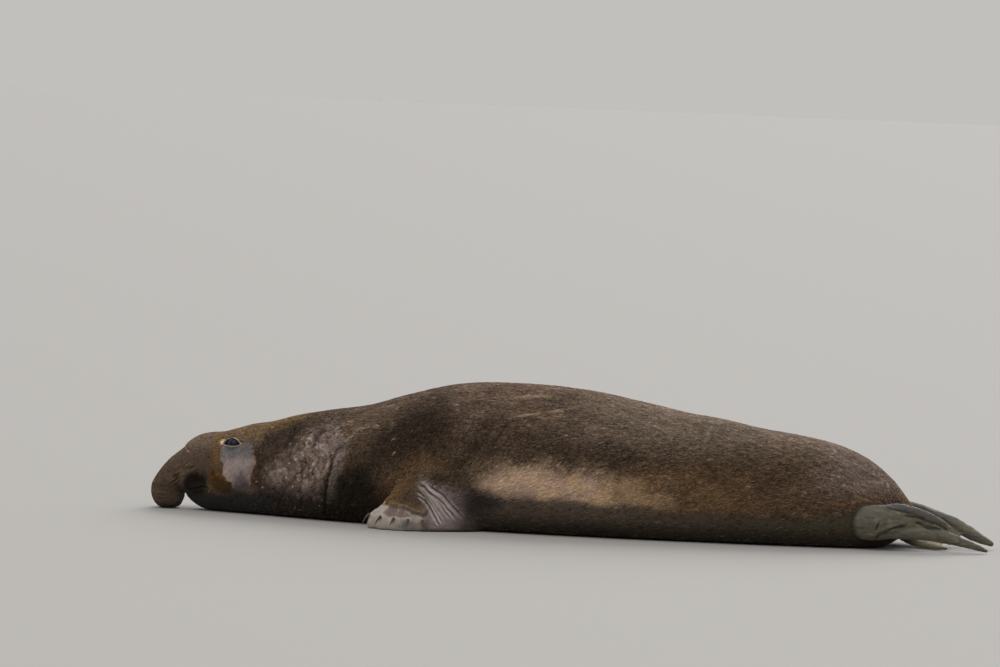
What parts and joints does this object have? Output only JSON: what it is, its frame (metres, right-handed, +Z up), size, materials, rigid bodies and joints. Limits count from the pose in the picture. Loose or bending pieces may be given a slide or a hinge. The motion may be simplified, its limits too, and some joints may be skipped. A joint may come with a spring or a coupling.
{
  "type": "elephant seal",
  "caption": "Life-size bull northern elephant seal resting flat on its belly, head down, trunk-like nose on the floor, foreflippers spread and hind flippers trailing.",
  "frame": {"origin": "on the floor, at the middle of the bounding box in plan, nearly under the middle of the back", "axes": "+X along the body from the nose towards the hind flippers, +Y towards the animal's right side, +Z up from the floor it lies on"},
  "size_m": [4.4632, 1.5128, 0.7487],
  "materials": {
    "fur": "short flat brown fur over thick skin",
    "shield": "creased and scarred skin of the chest shield",
    "flipper": "dull grey-brown flipper skin",
    "eye": "wet and dark",
    "claw": "dark horn"
  },
  "bodies": {
    "root": {"proboscis": "fur", "head": "fur", "neck": "shield", "chest": "fur", "belly": "fur", "hips": "fur", "tail": "fur", "foreflipper_left": "flipper", "foreflipper_right": "flipper", "hind_flipper_left": "flipper", "hind_flipper_right": "flipper", "eye_left": "eye", "eye_right": "eye", "claw_left_1": "claw", "claw_left_2": "claw", "claw_left_3": "claw", "claw_left_4": "claw", "claw_left_5": "claw", "claw_right_1": "claw", "claw_right_2": "claw", "claw_right_3": "claw", "claw_right_4": "claw", "claw_right_5": "claw"}
  },
  "joints": []
}
